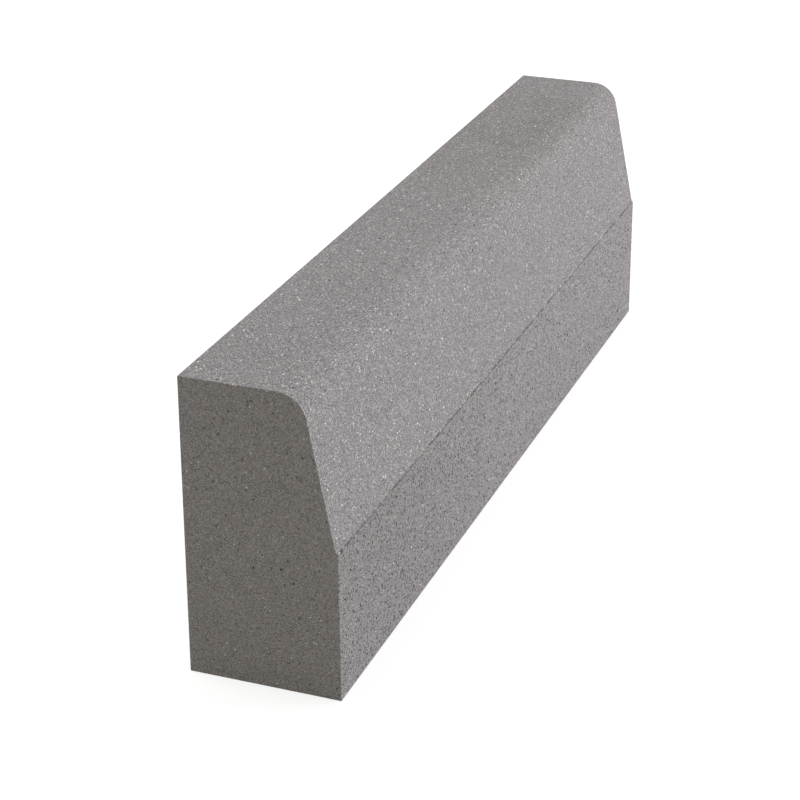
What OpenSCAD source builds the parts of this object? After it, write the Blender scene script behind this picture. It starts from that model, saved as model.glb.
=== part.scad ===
// Pressed concrete kerb stone for the edge of a road.
// It stands on its bed as it is laid: X runs along the road, the road lies on the
// -Y side and Z is up. The origin is the middle of the bed. Sizes are millimetres.

/* [Stone] */
// Length along the road
stone_length = 1000; // [200:10:1500]
// Height from the bed to the flat top
stone_height = 300; // [220:5:450]
// Nominal width, from the plumb back face to the outer edge of the ledge
stone_width = 150; // [120:1:220]

/* [Lower road face] */
// Height of the ledge above the bed
ledge_height = 150; // [60:1:220]
// How much further out the face stands at the bed than at the ledge
face_draft = 1.5; // [0:0.1:5]

/* [Pressed head] */
// Width of the flat ledge that the rim of the pressing head leaves
ledge_width = 1.5; // [0.5:0.1:6]
// How far the battered face leans back on its way from the ledge to the top
batter = 31; // [10:1:50]
// Radius of the corner where the battered face turns into the top
corner_radius = 30; // [5:1:50]

/* [Hidden] */

// Grey of the dry concrete
concrete = [0.60, 0.58, 0.58];
// Segments drawn in a full circle
round_steps = 128;

// The section is drawn with the road on its left, and its first coordinate is Y
foot_width = stone_width + face_draft;
back_y = foot_width / 2;
foot_y = back_y - foot_width;
ledge_outer_y = back_y - stone_width;
ledge_inner_y = ledge_outer_y + ledge_width;
top_corner_y = ledge_inner_y + batter;

// The battered face leans this far from plumb, and the corner's arc leaves the top and
// the face at the same distance from the point where their planes cross
lean = atan2(batter, stone_height - ledge_height);
tangent_length = corner_radius * tan((90 - lean) / 2);
arc_centre = [top_corner_y + tangent_length, stone_height - corner_radius];
arc_on_top = [arc_centre.x, stone_height];
// The face ends a hair inside the arc, so that the two cross and leave no sliver between them
tuck = 0.001;
arc_on_face = arc_centre + (corner_radius - tuck) * [-cos(lean), sin(lean)];

// Cross-section of the stone, seen from the end with the road on the left
module section() {
    polygon([
        [foot_y, 0],
        [back_y, 0],
        [back_y, stone_height],
        arc_on_top,
        arc_on_face,
        [ledge_inner_y, ledge_height],
        [ledge_outer_y, ledge_height]
    ]);
    translate(arc_centre) circle(r = corner_radius, $fn = round_steps);
}

// The stone is one casting: its section runs unchanged from end to end
module kerb_stone() {
    color(concrete)
    rotate([90, 0, 90])
    linear_extrude(height = stone_length, center = true)
        section();
}

kerb_stone();
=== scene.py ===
import math

import bpy
import numpy as np
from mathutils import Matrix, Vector


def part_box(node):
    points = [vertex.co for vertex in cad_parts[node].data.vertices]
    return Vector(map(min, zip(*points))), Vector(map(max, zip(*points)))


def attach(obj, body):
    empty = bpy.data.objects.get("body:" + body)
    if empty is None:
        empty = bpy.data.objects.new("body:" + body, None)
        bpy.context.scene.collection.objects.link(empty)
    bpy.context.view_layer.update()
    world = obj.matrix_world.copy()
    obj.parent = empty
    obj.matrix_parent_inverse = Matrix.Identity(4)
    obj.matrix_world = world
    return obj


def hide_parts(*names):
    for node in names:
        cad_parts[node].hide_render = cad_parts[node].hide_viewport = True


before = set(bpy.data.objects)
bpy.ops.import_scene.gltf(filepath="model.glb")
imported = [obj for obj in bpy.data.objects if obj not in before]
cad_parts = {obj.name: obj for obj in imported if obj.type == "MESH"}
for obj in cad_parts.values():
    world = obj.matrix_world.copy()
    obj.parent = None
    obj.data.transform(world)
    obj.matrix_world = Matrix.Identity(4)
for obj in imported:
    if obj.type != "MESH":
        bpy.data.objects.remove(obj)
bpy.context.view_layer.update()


# The stone: one casting of semi-dry concrete, pressed standing on its bed in a steel mould.
# A shaped head closes the mould from above and leaves the top, the rounded corner, the
# battered face and the narrow ledge; the mould walls leave the other faces, with air pores.
class Wire:
    """One value in a node tree. Arithmetic on it adds Math nodes, and add() any other node."""

    def __init__(self, tree, socket=None):
        self.tree = tree
        self.socket = socket

    def add(self, kind, settings=None, sockets=None, out=0):
        """Adds a node: its settings first, then a value or a link for each socket named."""
        node = self.tree.nodes.new(kind)
        for name, value in (settings or {}).items():
            if name == "choices":
                for _ in range(value - len(node.index_switch_items)):
                    node.index_switch_items.new()
            else:
                setattr(node, name, value)
        for name, value in (sockets or {}).items():
            if isinstance(value, Wire):
                self.tree.links.new(value.socket, node.inputs[name])
            elif isinstance(value, list):
                for wire in value:
                    self.tree.links.new(wire.socket, node.inputs[name])
            else:
                node.inputs[name].default_value = value
        return Wire(self.tree, node.outputs[out])

    def other(self, name):
        """Another output of the node that this value comes from."""
        return Wire(self.tree, self.socket.node.outputs[name])

    def math(self, operation, *values):
        """Adds a Math node on the values."""
        return self.add("ShaderNodeMath", {"operation": operation}, dict(enumerate(values)))

    def __add__(self, more):
        return self.math("ADD", self, more)

    def __sub__(self, less):
        return self.math("SUBTRACT", self, less)

    def __mul__(self, times):
        return self.math("MULTIPLY", self, times)

    def __truediv__(self, parts):
        return self.math("DIVIDE", self, parts)

    def __pow__(self, power):
        return self.math("POWER", self, power)

    def __gt__(self, level):
        return self.math("GREATER_THAN", self, level)

    def __lt__(self, level):
        return self.math("LESS_THAN", self, level)

    def __rsub__(self, whole):
        return self.math("SUBTRACT", whole, self)

    __radd__ = __add__
    __rmul__ = __mul__

    def rise(self, low, high, bottom=0.0, top=1.0):
        """Goes smoothly from bottom to top while this value goes from low to high."""
        return self.add("ShaderNodeMapRange", {"interpolation_type": "SMOOTHSTEP"},
                        {0: self, 1: low, 2: high, 3: bottom, 4: top})

    def point(self, x, y, z=0.0):
        """Joins three values into a place."""
        return self.add("ShaderNodeCombineXYZ", None, {0: x, 1: y, 2: z})

    def blend(self, share, first, second):
        """Goes from the first colour to the second with the share."""
        return self.add("ShaderNodeMix", {"data_type": "RGBA"}, {0: share, 6: first, 7: second}, out=2)


# Sizes in metres. The frame gives the outer ones; the width is taken over the ledge, and the
# foot stands further out by the draft of the lower face.
low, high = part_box("kerb_stone")
foot_draft = 0.0015
stone = {
    "Length": high[0] - low[0],
    "Height": high[2] - low[2],
    "Width": high[1] - low[1] - foot_draft,
    "Ledge height": 0.15,
    "Draft": foot_draft,
    "Ledge width": 0.0015,
    "Batter": 0.031,
    "Corner radius": 0.03,
    "Arris": 0.0005,
}
press = bpy.data.node_groups.new("kerb press", "GeometryNodeTree")
inlets = {
    name: press.interface.new_socket(name, in_out="INPUT", socket_type="NodeSocketFloat").identifier
    for name in stone
}
press.interface.new_socket("Concrete", in_out="INPUT", socket_type="NodeSocketMaterial")
press.interface.new_socket("Stone", in_out="OUTPUT", socket_type="NodeSocketGeometry")
given = press.nodes.new("NodeGroupInput")
length, height, width, ledge_height, draft, ledge_width, batter, corner_radius, arris = (
    Wire(press, given.outputs[name]) for name in stone
)
here = Wire(press)
index = here.add("GeometryNodeInputIndex")


def points_at(count, position):
    """So many points, each at its own place."""
    return here.add("GeometryNodePoints", None, {"Count": count, "Position": position})


# The section, seen from the end with the road on the left: six corners, of which the one
# between the batter and the top is rounded and the others lose a fine arris
corners = 6
rounded_corner = 3
round_steps = 32
back = (width + draft) / 2
ledge_outer = back - width
ledge_inner = ledge_outer + ledge_width
at_corner = here.add("GeometryNodeIndexSwitch", {"data_type": "VECTOR", "choices": corners}, {
    0: index,
    1: here.point(0 - back, 0.0),
    2: here.point(back, 0.0),
    3: here.point(back, height),
    4: here.point(ledge_inner + batter, height),
    5: here.point(ledge_inner, ledge_height),
    6: here.point(ledge_outer, ledge_height),
})
outline = here.add("GeometryNodePointsToCurves", None, {"Points": points_at(corners, at_corner)})
outline = here.add("GeometryNodeSetSplineCyclic", None, {0: outline, "Cyclic": True})
is_round = here.math("COMPARE", index, rounded_corner, 0.1)
section = here.add("GeometryNodeFilletCurve", {"mode": "POLY"}, {
    "Curve": outline,
    "Count": 1 + is_round * (round_steps - 1),
    "Radius": arris + is_round * (corner_radius - arris),
})

# The mould is as long as the stone; the section is swept through it, with a station about
# every centimetre, and at each end a last one just past the station where the arris begins
stations = 103
step = (length - 2 * arris) / (stations - 3)
station = here.add("ShaderNodeClamp", None, {
    0: arris - length / 2 + (index - 1) * step, 1: 0 - length / 2, 2: length / 2})
rail = points_at(stations, here.point(0.0, 0.0, station))
rail = here.add("GeometryNodePointsToCurves", None, {"Points": rail})
body = here.add("GeometryNodeCurveToMesh", None, {
    "Curve": rail, "Profile Curve": section, "Fill Caps": True})
swept = here.add("ShaderNodeSeparateXYZ", None, {0: here.add("GeometryNodeInputPosition")})
swept_y, swept_z, swept_x = swept.other("X"), swept.other("Y"), swept.other("Z")
body = here.add("GeometryNodeSetPosition", None, {
    "Geometry": body,
    "Selection": here.math("ABSOLUTE", swept_x) > length / 2 - arris / 2,
    "Position": here.point(swept_y * (1 - 2 * arris / width),
                           height / 2 + (swept_z - height / 2) * (1 - 2 * arris / height), swept_x),
})
upright = (math.radians(90), 0.0, math.radians(90))
body = here.add("GeometryNodeTransform", None, {"Geometry": body, "Rotation": upright})


def draw(seed, least=0.0, most=1.0):
    """A random number for each point."""
    return here.add("FunctionNodeRandomValue", {"data_type": "FLOAT"}, {
        2: least, 3: most, "Seed": seed}, out=1)


def draw_three(seed, least, most):
    """Three random numbers for each point."""
    return here.add("FunctionNodeRandomValue", {"data_type": "FLOAT_VECTOR"}, {
        0: least, 1: most, "Seed": seed})


def strewn(count, seed):
    """Places along the length, one in each of so many equal stretches and clear of their ends."""
    return length * ((index + draw(seed, 0.2, 0.8)) / count - 0.5)


def lumps(points, radii, shapes, turns, seed, share=1.0):
    """Faceted lumps on a share of the points, of many sizes with the small ones commonest."""
    radius = radii[0] + (radii[1] - radii[0]) * draw(seed) ** 3
    turn = draw_three(seed + 1, (0.0, 0.0, 0.0), turns)
    shape = draw_three(seed + 2, shapes[0], shapes[1])
    taken = here.add("FunctionNodeRandomValue", {"data_type": "BOOLEAN"}, {
        "Probability": share, "Seed": seed + 3}, out=3)
    askew = (0.4, 0.7, 0.2)
    ball = here.add("GeometryNodeMeshIcoSphere", None, {"Radius": 1.0, "Subdivisions": 1})
    ball = here.add("GeometryNodeTransform", None, {"Geometry": ball, "Rotation": askew})
    balls = here.add("GeometryNodeInstanceOnPoints", None, {
        "Points": points, "Selection": taken, "Instance": ball, "Rotation": turn,
        "Scale": here.add("ShaderNodeVectorMath", {"operation": "SCALE"}, {0: shape, "Scale": radius})})
    return here.add("GeometryNodeRealizeInstances", None, {"Geometry": balls})


def cut(solid, tools):
    """Takes the tools' shapes out of the solid."""
    return here.add("GeometryNodeMeshBoolean", {"operation": "DIFFERENCE", "solver": "MANIFOLD"}, {
        "Mesh 1": solid, "Mesh 2": tools})


# Paste squeezed out between the head and the mould wall leaves crumbs along the ledge, and
# a larger burr at each end of it
level = (0.0, 0.0, 0.0)
crumb_count = 90
crumb_out = 0.0003
crumb_up = 0.0002
crumb_at = here.point(strewn(crumb_count, 41), ledge_inner - crumb_out, ledge_height + crumb_up)
crumbs = lumps(points_at(crumb_count, crumb_at), radii=(0.0004, 0.0016),
               shapes=((0.9, 0.5, 0.6), (2.2, 0.8, 1.1)), turns=level, seed=42)
burr_inset = 0.0034
burr_out = 0.0006
burr_up = 0.0005
burr_x = (index - 0.5) * (length - 2 * burr_inset)
burr_at = here.point(burr_x, ledge_inner - burr_out, ledge_height + burr_up)
burrs = lumps(points_at(2, burr_at), radii=(0.0016, 0.0017),
              shapes=((1.8, 0.8, 0.8), (1.95, 0.9, 1.0)), turns=level, seed=46)
body = here.add("GeometryNodeMeshBoolean", {"operation": "UNION", "solver": "MANIFOLD"}, {
    "Mesh 2": [body, crumbs, burrs]})

# Lifting and stacking knock small chips off the long arrises and those round both ends
chip_count = 45
chip_spacing = 0.019
long_arrises = (
    (0 - back, 0.0, 51),
    (back, 0.0, 52),
    (back, height, 53),
    (ledge_outer, ledge_height, 54),
)
struck = [
    points_at(chip_count, here.point(strewn(chip_count, seed), arris_y, arris_z))
    for arris_y, arris_z, seed in long_arrises
]
rim = here.add("GeometryNodeCurveToPoints", {"mode": "LENGTH"}, {"Curve": section, "Length": chip_spacing})
for end_x in (0 - length / 2, length / 2):
    struck.append(here.add("GeometryNodeTransform", None, {
        "Geometry": rim, "Rotation": upright, "Translation": here.point(end_x, 0.0)}))
struck = here.add("GeometryNodeJoinGeometry", None, {0: struck})
even = (0.65, 0.65, 0.65), (1.15, 1.15, 1.15)
any_way = (6.28, 6.28, 6.28)
chips = lumps(struck, radii=(0.0004, 0.0020), shapes=even, turns=any_way, seed=61, share=0.55)
body = cut(body, chips)

# Air is trapped against the mould walls and leaves pores there; the head is wiped nearly
# clean by its slide. Fewer show under the bed, which the pressing board squeezes flat.
facing = here.add("ShaderNodeSeparateXYZ", None, {0: here.add("GeometryNodeInputNormal")})
spot = here.add("ShaderNodeSeparateXYZ", None, {0: here.add("GeometryNodeInputPosition")})
square_on = 0.9
on_end = here.math("ABSOLUTE", facing.other("X")) > square_on
on_back = facing.other("Y") > square_on
on_bed = facing.other("Z") < -square_on
on_lower = (facing.other("Y") < -square_on) * (spot.other("Z") < ledge_height)
on_wall = here.math("MINIMUM", on_end + on_back + on_lower, 1.0)


def pierce(solid, chance, per_square_metre, apart, radii, seed):
    """Cuts scattered pores, no two of them nearer than the distance apart."""
    spread = here.add("GeometryNodeDistributePointsOnFaces", {"distribute_method": "POISSON"}, {
        "Mesh": solid, "Distance Min": apart, "Density Max": per_square_metre,
        "Density Factor": chance, "Seed": seed})
    return cut(solid, lumps(spread, radii, even, any_way, seed + 1))


pinhole_chance = 0.06 + 0.94 * on_wall + 0.1 * on_bed - 0.6 * on_end
blowhole_chance = 0.02 + 0.98 * on_wall - 0.75 * on_end
cast = pierce(body, pinhole_chance, per_square_metre=7500.0, apart=0.0055, radii=(0.0005, 0.0016), seed=11)
cast = pierce(cast, blowhole_chance, per_square_metre=130.0, apart=0.03, radii=(0.0012, 0.0028), seed=23)

crease = math.radians(25)
steep = here.add("GeometryNodeInputMeshEdgeAngle") > crease
cast = here.add("GeometryNodeSetShadeSmooth", {"domain": "FACE"}, {"Geometry": cast, "Shade Smooth": True})
cast = here.add("GeometryNodeSetShadeSmooth", {"domain": "EDGE"}, {
    "Geometry": cast, "Selection": steep, "Shade Smooth": False})
cast = here.add("GeometryNodeRealizeInstances", None, {"Geometry": cast})
cast = here.add("GeometryNodeSetMaterial", None, {
    "Geometry": cast, "Material": Wire(press, given.outputs["Concrete"])})
finished = press.nodes.new("NodeGroupOutput")
press.links.new(cast.socket, finished.inputs["Stone"])

concrete = bpy.data.materials.new("pressed_concrete")
blank = bpy.data.objects.new("mould", bpy.data.meshes.new("mould"))
bpy.context.scene.collection.objects.link(blank)
pressing = blank.modifiers.new("press", "NODES")
pressing.node_group = press
for name, size in stone.items():
    pressing[inlets[name]] = size
pressing[press.interface.items_tree["Concrete"].identifier] = concrete
settled = blank.evaluated_get(bpy.context.evaluated_depsgraph_get())
kerb = bpy.data.objects.new("pressed_stone", bpy.data.meshes.new_from_object(settled))
bpy.context.scene.collection.objects.link(kerb)
bpy.data.objects.remove(blank)

# Every face of the mesh belongs to the side of the stone that it lies nearest to, pores
# included. Depths are measured inwards from each side.
mesh = kerb.data
centres = np.empty(len(mesh.polygons) * 3, np.float32)
mesh.polygons.foreach_get("center", centres)
x, y, z = centres.reshape(-1, 3).T
hair = 0.0002
far_off = 1.0
back_y = (stone["Width"] + stone["Draft"]) / 2
outer_y = back_y - stone["Width"]
inner_y = outer_y + stone["Ledge width"]
lean = math.atan2(stone["Batter"], stone["Height"] - stone["Ledge height"])
above = z > stone["Ledge height"] + hair
under_batter = (y - inner_y) * math.cos(lean) - (z - stone["Ledge height"]) * math.sin(lean)
under_lower = y + back_y - z * stone["Draft"] / stone["Ledge height"]
bed, back_face, top, batter_face, lower_face, ledge, near_end, far_end = range(8)
depths = np.stack([
    z,
    back_y - y,
    stone["Height"] - z,
    np.where(above, under_batter, far_off),
    np.where(above, far_off, under_lower),
    np.where(y < inner_y + hair, abs(z - stone["Ledge height"]), far_off),
    x + stone["Length"] / 2,
    stone["Length"] / 2 - x,
])
side = depths.argmin(axis=0)

# Faces that stand out of the battered face are crumbs, and those sunk under one side and
# well away from the next are pores
clear_of_arris = 0.003
round_z = stone["Height"] - stone["Corner radius"]
round_y = inner_y + stone["Batter"] + stone["Corner radius"] * math.tan((math.radians(90) - lean) / 2)
in_round = (y < round_y) & (z > round_z)
under_round = np.where(in_round, stone["Corner radius"] - np.hypot(y - round_y, z - round_z), far_off)
nearest, next_nearest = np.sort(depths, axis=0)[:2]
marks = {
    "pressed": np.isin(side, (top, batter_face, ledge)),
    "end_face": np.isin(side, (near_end, far_end)),
    "crumb": depths[batter_face] < -hair / 2,
    "pore": (np.minimum(nearest, under_round) > hair) & (next_nearest > clear_of_arris),
}

# The sides lie in strips on the stone's flat map: for each its place along the strip, its
# place across and the strip's width, in metres. The bed is laid at half its width, the ledge
# at three times its own, and the two ends share a strip.
loops = np.empty(len(mesh.loops), np.int32)
mesh.loops.foreach_get("vertex_index", loops)
vertices = np.empty(len(mesh.vertices) * 3, np.float32)
mesh.vertices.foreach_get("co", vertices)
loop_x, loop_y, loop_z = vertices.reshape(-1, 3)[loops].T
totals = np.empty(len(mesh.polygons), np.int32)
mesh.polygons.foreach_get("loop_total", totals)
side_of_loop = np.repeat(side, totals)
map_width = 1.01
margin = 0.004
gap = 0.003
corner_trim = 0.025
second_end = 0.31
lay_x = loop_x + stone["Length"] / 2
strips = {
    back_face: (lay_x, loop_z, 0.302),
    bed: (lay_x, (loop_y + back_y) / 2, 0.0775),
    top: (lay_x, loop_y + back_y - corner_trim, 0.129),
    batter_face: (lay_x, (loop_z - stone["Ledge height"]) / math.cos(lean), 0.155),
    lower_face: (lay_x, loop_z, 0.152),
    ledge: (lay_x, (loop_y - outer_y) * 3, 0.0065),
    near_end: (loop_z, loop_y + back_y, 0.0),
    far_end: (loop_z + second_end, loop_y + back_y, 0.153),
}
flat = np.zeros((len(loops), 2), np.float32)
row = margin
for which, (u, v, room) in strips.items():
    members = side_of_loop == which
    flat[members] = np.stack([u[members] + margin, v[members] + row], axis=1) / map_width
    row += room + gap * (room > 0)
layout = mesh.uv_layers.new(name="OFBake")
layout.uv.foreach_set("vector", flat.ravel())
for name, marked in marks.items():
    mark = mesh.attributes.new(name, "FLOAT", "FACE")
    mark.data.foreach_set("value", marked.astype(np.float32))

wall_paste = (0.332, 0.313, 0.317, 1)
head_paste = (0.319, 0.301, 0.305, 1)
# The ends' paste is painted warmer: painted warm shade
end_paste_painted_warm_shade = (0.320, 0.300, 0.289, 1)
brown_paste = (0.288, 0.274, 0.263, 1)
arris_highlight_colour = (0.52, 0.50, 0.50, 1)
crumb_paste = (0.66, 0.64, 0.63, 1)
dark_stone = (0.11, 0.105, 0.10, 1)
quartz_white_and_painted_glint = (0.92, 0.90, 0.89, 1)
pit_shade = (0.05, 0.047, 0.045, 1)
pore_shade = (0.045, 0.042, 0.04, 1)
dark_ledge_line_colour = (0.075, 0.070, 0.066, 1)
concrete.use_nodes = True
shader = concrete.node_tree.nodes["Principled BSDF"]
mix = Wire(concrete.node_tree)
where = mix.add("ShaderNodeTexCoord", out="Object")
head, end, crumb, pore = (
    mix.add("ShaderNodeAttribute", {"attribute_name": name}, out="Fac") for name in marks
)


def noise(per_metre, detail=2.0):
    """Soft clouds, so many to the metre."""
    return mix.add("ShaderNodeTexNoise", None, {"Vector": where, "Scale": per_metre, "Detail": detail})


def grains(per_metre):
    """Distance from the middle of the nearest grain, in grains, with so many to the metre."""
    return mix.add("ShaderNodeTexVoronoi", None, {"Vector": where, "Scale": per_metre}, out="Distance")


def chances(cells):
    """Two chances from 0 to 1 for each grain, drawn anew because its colour follows its place."""
    drawn = mix.add("ShaderNodeTexWhiteNoise", {"noise_dimensions": "3D"}, {
        "Vector": cells.other("Color")}, out="Color")
    split = mix.add("ShaderNodeSeparateColor", None, {0: drawn})
    return split, split.other("Green")


def picked(chance, share):
    """1 on that share of the grains, 0 on the rest."""
    return chance > 1 - share


def dots(cells, width, edge, core, growth, rarity):
    """Round dots, solid in the core and gone at the edge; a rare few grow larger."""
    return (cells - width ** rarity * growth).rise(edge, core)


along = mix.add("ShaderNodeSeparateXYZ", None, {0: where})
across, up = along.other("Y"), along.other("Z")
road_side = across < inner_y + 0.001
over_ledge = up - stone["Ledge height"]
wall = (1 - head) * (1 - end)

# Sand under a millimetre across shows all over, and dark grit and grains of quartz in between.
# The slide of the head bares the quartz, most of all at the foot of the battered face. The
# quartz is near white, partly its own paleness and partly painted glint.
sand, _ = chances(grains(1500.0))
grit = grains(560.0)
grit_kind, grit_other = chances(grit)
lump = grit.rise(0.5, 0.36)
dark_grit = lump * picked(grit_kind, 0.015 + 0.03 * wall + 0.03 * end)
crystal = grains(360.0)
crystal_chance, crystal_width = chances(crystal)
foot = over_ledge.rise(0.006, 0.001) * road_side * head
quartz_and_glint = dots(crystal, crystal_width, edge=0.26, core=0.16, growth=0.22, rarity=3)
quartz_and_glint = quartz_and_glint * picked(crystal_chance, 0.015 + 0.065 * head + 0.08 * foot + 0.03 * end)
small_quartz_and_glint = lump * picked(grit_other, 0.01 + 0.03 * head) * 0.8
quartz_and_glint = mix.math("MAXIMUM", quartz_and_glint, small_quartz_and_glint)

# Pinholes too fine to model crowd together in places on the walls
hole = grains(340.0)
hole_chance, hole_width = chances(hole)
crowd = noise(26.0).rise(0.35, 0.68)
pit = dots(hole, hole_width, edge=0.31, core=0.21, growth=0.28, rarity=4)
pit = pit * picked(hole_chance, 0.03 - 0.02 * head + 0.06 * end + 0.2 * crowd * wall + 0.38 * wall)

# A dark line is painted along the ledge and a millimetre either side of it, broken here and there
dark_ledge_line = mix.math("ABSOLUTE", over_ledge - 0.0001).rise(0.0009, 0.0002) * road_side
dark_ledge_line = dark_ledge_line * noise(90.0, 3.0).rise(0.4, 0.6, bottom=0.1) * (1 - crumb)

# The lower road face is duller towards its near end, and the far half of the top is browner
dull = along.rise(-0.42, 0.02, bottom=0.12, top=0.0) * up.rise(0.0, 0.13, bottom=0.55) * wall * road_side
brown = along.rise(-0.05, 0.3) * along.rise(0.45, 0.37) * up.rise(0.285, 0.298)
brown = brown * noise(9.0).rise(0.35, 0.65) * head

# The long faces are painted paler within two millimetres of each end: a painted highlight along the end
# arrises
painted_arris_highlight = (stone["Length"] / 2 - mix.math("ABSOLUTE", along)).rise(0.0022, 0.0004) * (1 - end)

# Two sizes of cloud and the sand make the paste lighter and darker; grit, quartz with its partly
# painted glint, holes, the dark ledge line and crumbs lie on it. The ends show sand, grit, quartz and
# holes more faintly.
batch = (noise(5.0, 3.0) - 0.5) * 0.06
cloud = (noise(48.0, 3.0) - 0.5) * 0.05
grain = (sand - 0.5) * (1.56 - 0.06 * head - 0.53 * end)
tone = (1 + batch + cloud + grain) * (1 - dull)
paste = mix.blend(head, wall_paste, head_paste)
# The ends take the warmer paste: painted warm shade, on both ends alike
paste = mix.blend(end, paste, end_paste_painted_warm_shade)
paste = mix.blend(brown, paste, brown_paste)
# Painted highlight along the end arrises
paste = mix.blend(painted_arris_highlight * 0.35, paste, arris_highlight_colour)
paste = mix.add("ShaderNodeVectorMath", {"operation": "SCALE"}, {0: paste, "Scale": tone})
colour = mix.blend(dark_grit * (0.7 - 0.3 * end), paste, dark_stone)
# Quartz in near white: the grains' own paleness and painted glint
colour = mix.blend(quartz_and_glint * (0.9 - 0.4 * end), colour, quartz_white_and_painted_glint)
colour = mix.blend(pit * (0.9 - 0.45 * end), colour, pit_shade)
colour = mix.blend(pore * (0.8 - 0.4 * end), colour, pore_shade)
colour = mix.blend(dark_ledge_line * 0.5, colour, dark_ledge_line_colour)
colour = mix.blend(crumb * 0.7, colour, crumb_paste)
relief = sand * 0.4 + lump * 0.4 - pit * 1.5
bump = mix.add("ShaderNodeBump", None, {"Strength": 0.25, "Distance": 0.0005, "Height": relief})
roughness = 0.9 - quartz_and_glint * 0.4
concrete.node_tree.links.new(colour.socket, shader.inputs["Base Color"])
concrete.node_tree.links.new(bump.socket, shader.inputs["Normal"])
concrete.node_tree.links.new(roughness.socket, shader.inputs["Roughness"])
shader.inputs["Specular IOR Level"].default_value = 0.25

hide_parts("kerb_stone")
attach(kerb, "root")


# The floor: a broad sheet of matt white paper, which shows white to the camera and keeps
# a soft shadow of the stone. Light that it throws back onto the stone is that of a grey floor.
def in_view(tree):
    """1 for the rays that meet the eye straight or by way of gloss or glass, 0 for the rest."""
    ray = tree.add("ShaderNodeLightPath", out="Is Camera Ray")
    return tree.math("MINIMUM", ray + ray.other("Is Glossy Ray") + ray.other("Is Transmission Ray"), 1.0)


white = (1, 1, 1, 1)
lit_grey = (0.5, 0.5, 0.5, 1)
floor_grey = (0.55, 0.55, 0.55, 1)
paper_glow = 0.72
reach = 14.0
sheet_corners = [(-reach, -reach, 0), (reach, -reach, 0), (reach, reach, 0), (-reach, reach, 0)]
sheet = bpy.data.meshes.new("floor")
sheet.from_pydata(sheet_corners, [], [(0, 1, 2, 3)])
floor = bpy.data.objects.new("floor", sheet)
bpy.context.scene.collection.objects.link(floor)
paper = bpy.data.materials.new("white_paper")
paper.use_nodes = True
paper.node_tree.nodes.remove(paper.node_tree.nodes["Principled BSDF"])
tint = Wire(paper.node_tree)
thrown_back = tint.add("ShaderNodeBsdfDiffuse", None, {"Color": floor_grey}, out="BSDF")
lit = tint.add("ShaderNodeBsdfDiffuse", None, {"Color": lit_grey}, out="BSDF")
glow = tint.add("ShaderNodeEmission", None, {"Color": white, "Strength": paper_glow}, out="Emission")
shown = tint.add("ShaderNodeAddShader", None, {0: lit, 1: glow})
surface = tint.add("ShaderNodeMixShader", None, {0: in_view(tint), 1: thrown_back, 2: shown})
paper.node_tree.links.new(surface.socket, paper.node_tree.nodes["Material Output"].inputs["Surface"])
sheet.materials.append(paper)

# The light: a pale sky, dimmer and warmer over the near end, a long low lamp on the road
# side towards the far end, and a weaker one high behind the stone.
warm_white = (1, 0.95, 0.82, 1)
sky_level = 0.69
sky_slope = 0.38
sky = bpy.data.worlds.new("pale_sky")
bpy.context.scene.world = sky
sky.use_nodes = True
air = Wire(sky.node_tree)
towards_far = air.add("ShaderNodeSeparateXYZ", None, {0: air.add("ShaderNodeTexCoord", out="Generated")})
warmth = air.blend(towards_far.rise(-0.4, -0.9), white, warm_white)
shade = air.add("ShaderNodeBackground", None, {
    "Color": warmth, "Strength": sky_level + sky_slope * towards_far}, out="Background")
bright = air.add("ShaderNodeBackground", None, {"Color": white, "Strength": 1.0}, out="Background")
dome = air.add("ShaderNodeMixShader", None, {0: in_view(air), 1: shade, 2: bright})
sky.node_tree.links.new(dome.socket, sky.node_tree.nodes["World Output"].inputs["Surface"])


def soft_lamp(name, place, size, watts):
    """A broad lamp that looks at the middle of the stone and stays out of the picture."""
    lamp = bpy.data.lights.new(name, "AREA")
    lamp.shape = "RECTANGLE"
    lamp.size, lamp.size_y = size
    lamp.energy = watts
    holder = bpy.data.objects.new(name, lamp)
    holder.location = place
    aim = Vector((0.0, 0.0, stone["Ledge height"])) - holder.location
    holder.rotation_euler = aim.to_track_quat("-Z", "Y").to_euler()
    holder.visible_camera = False
    bpy.context.scene.collection.objects.link(holder)


soft_lamp("road_side_lamp", place=(3.4, -5.6, 0.75), size=(3.2, 0.9), watts=199.0)
soft_lamp("back_lamp", place=(0.0, 4.8, 3.75), size=(3.0, 2.0), watts=68.0)

# The camera: stands a metre and a half past the near end on the road side and looks down
# along the stone. Its lens is given by the focal length in pixels of the picture.
picture_width = 800
focal_pixels = 2178.41
turn = math.radians(200.517)
tilt = math.radians(24.566)
lens = bpy.data.cameras.new("camera")
lens.sensor_width = 36.0
lens.lens = lens.sensor_width * focal_pixels / picture_width
backward = Vector((math.cos(tilt) * math.cos(turn), math.cos(tilt) * math.sin(turn), math.sin(tilt)))
camera = bpy.data.objects.new("camera", lens)
camera.location = (-2.0592, -0.7158, 1.0710)
camera.rotation_euler = (-backward).to_track_quat("-Z", "Y").to_euler()
bpy.context.scene.collection.objects.link(camera)
bpy.context.scene.camera = camera
bpy.context.scene.view_settings.view_transform = "Standard"
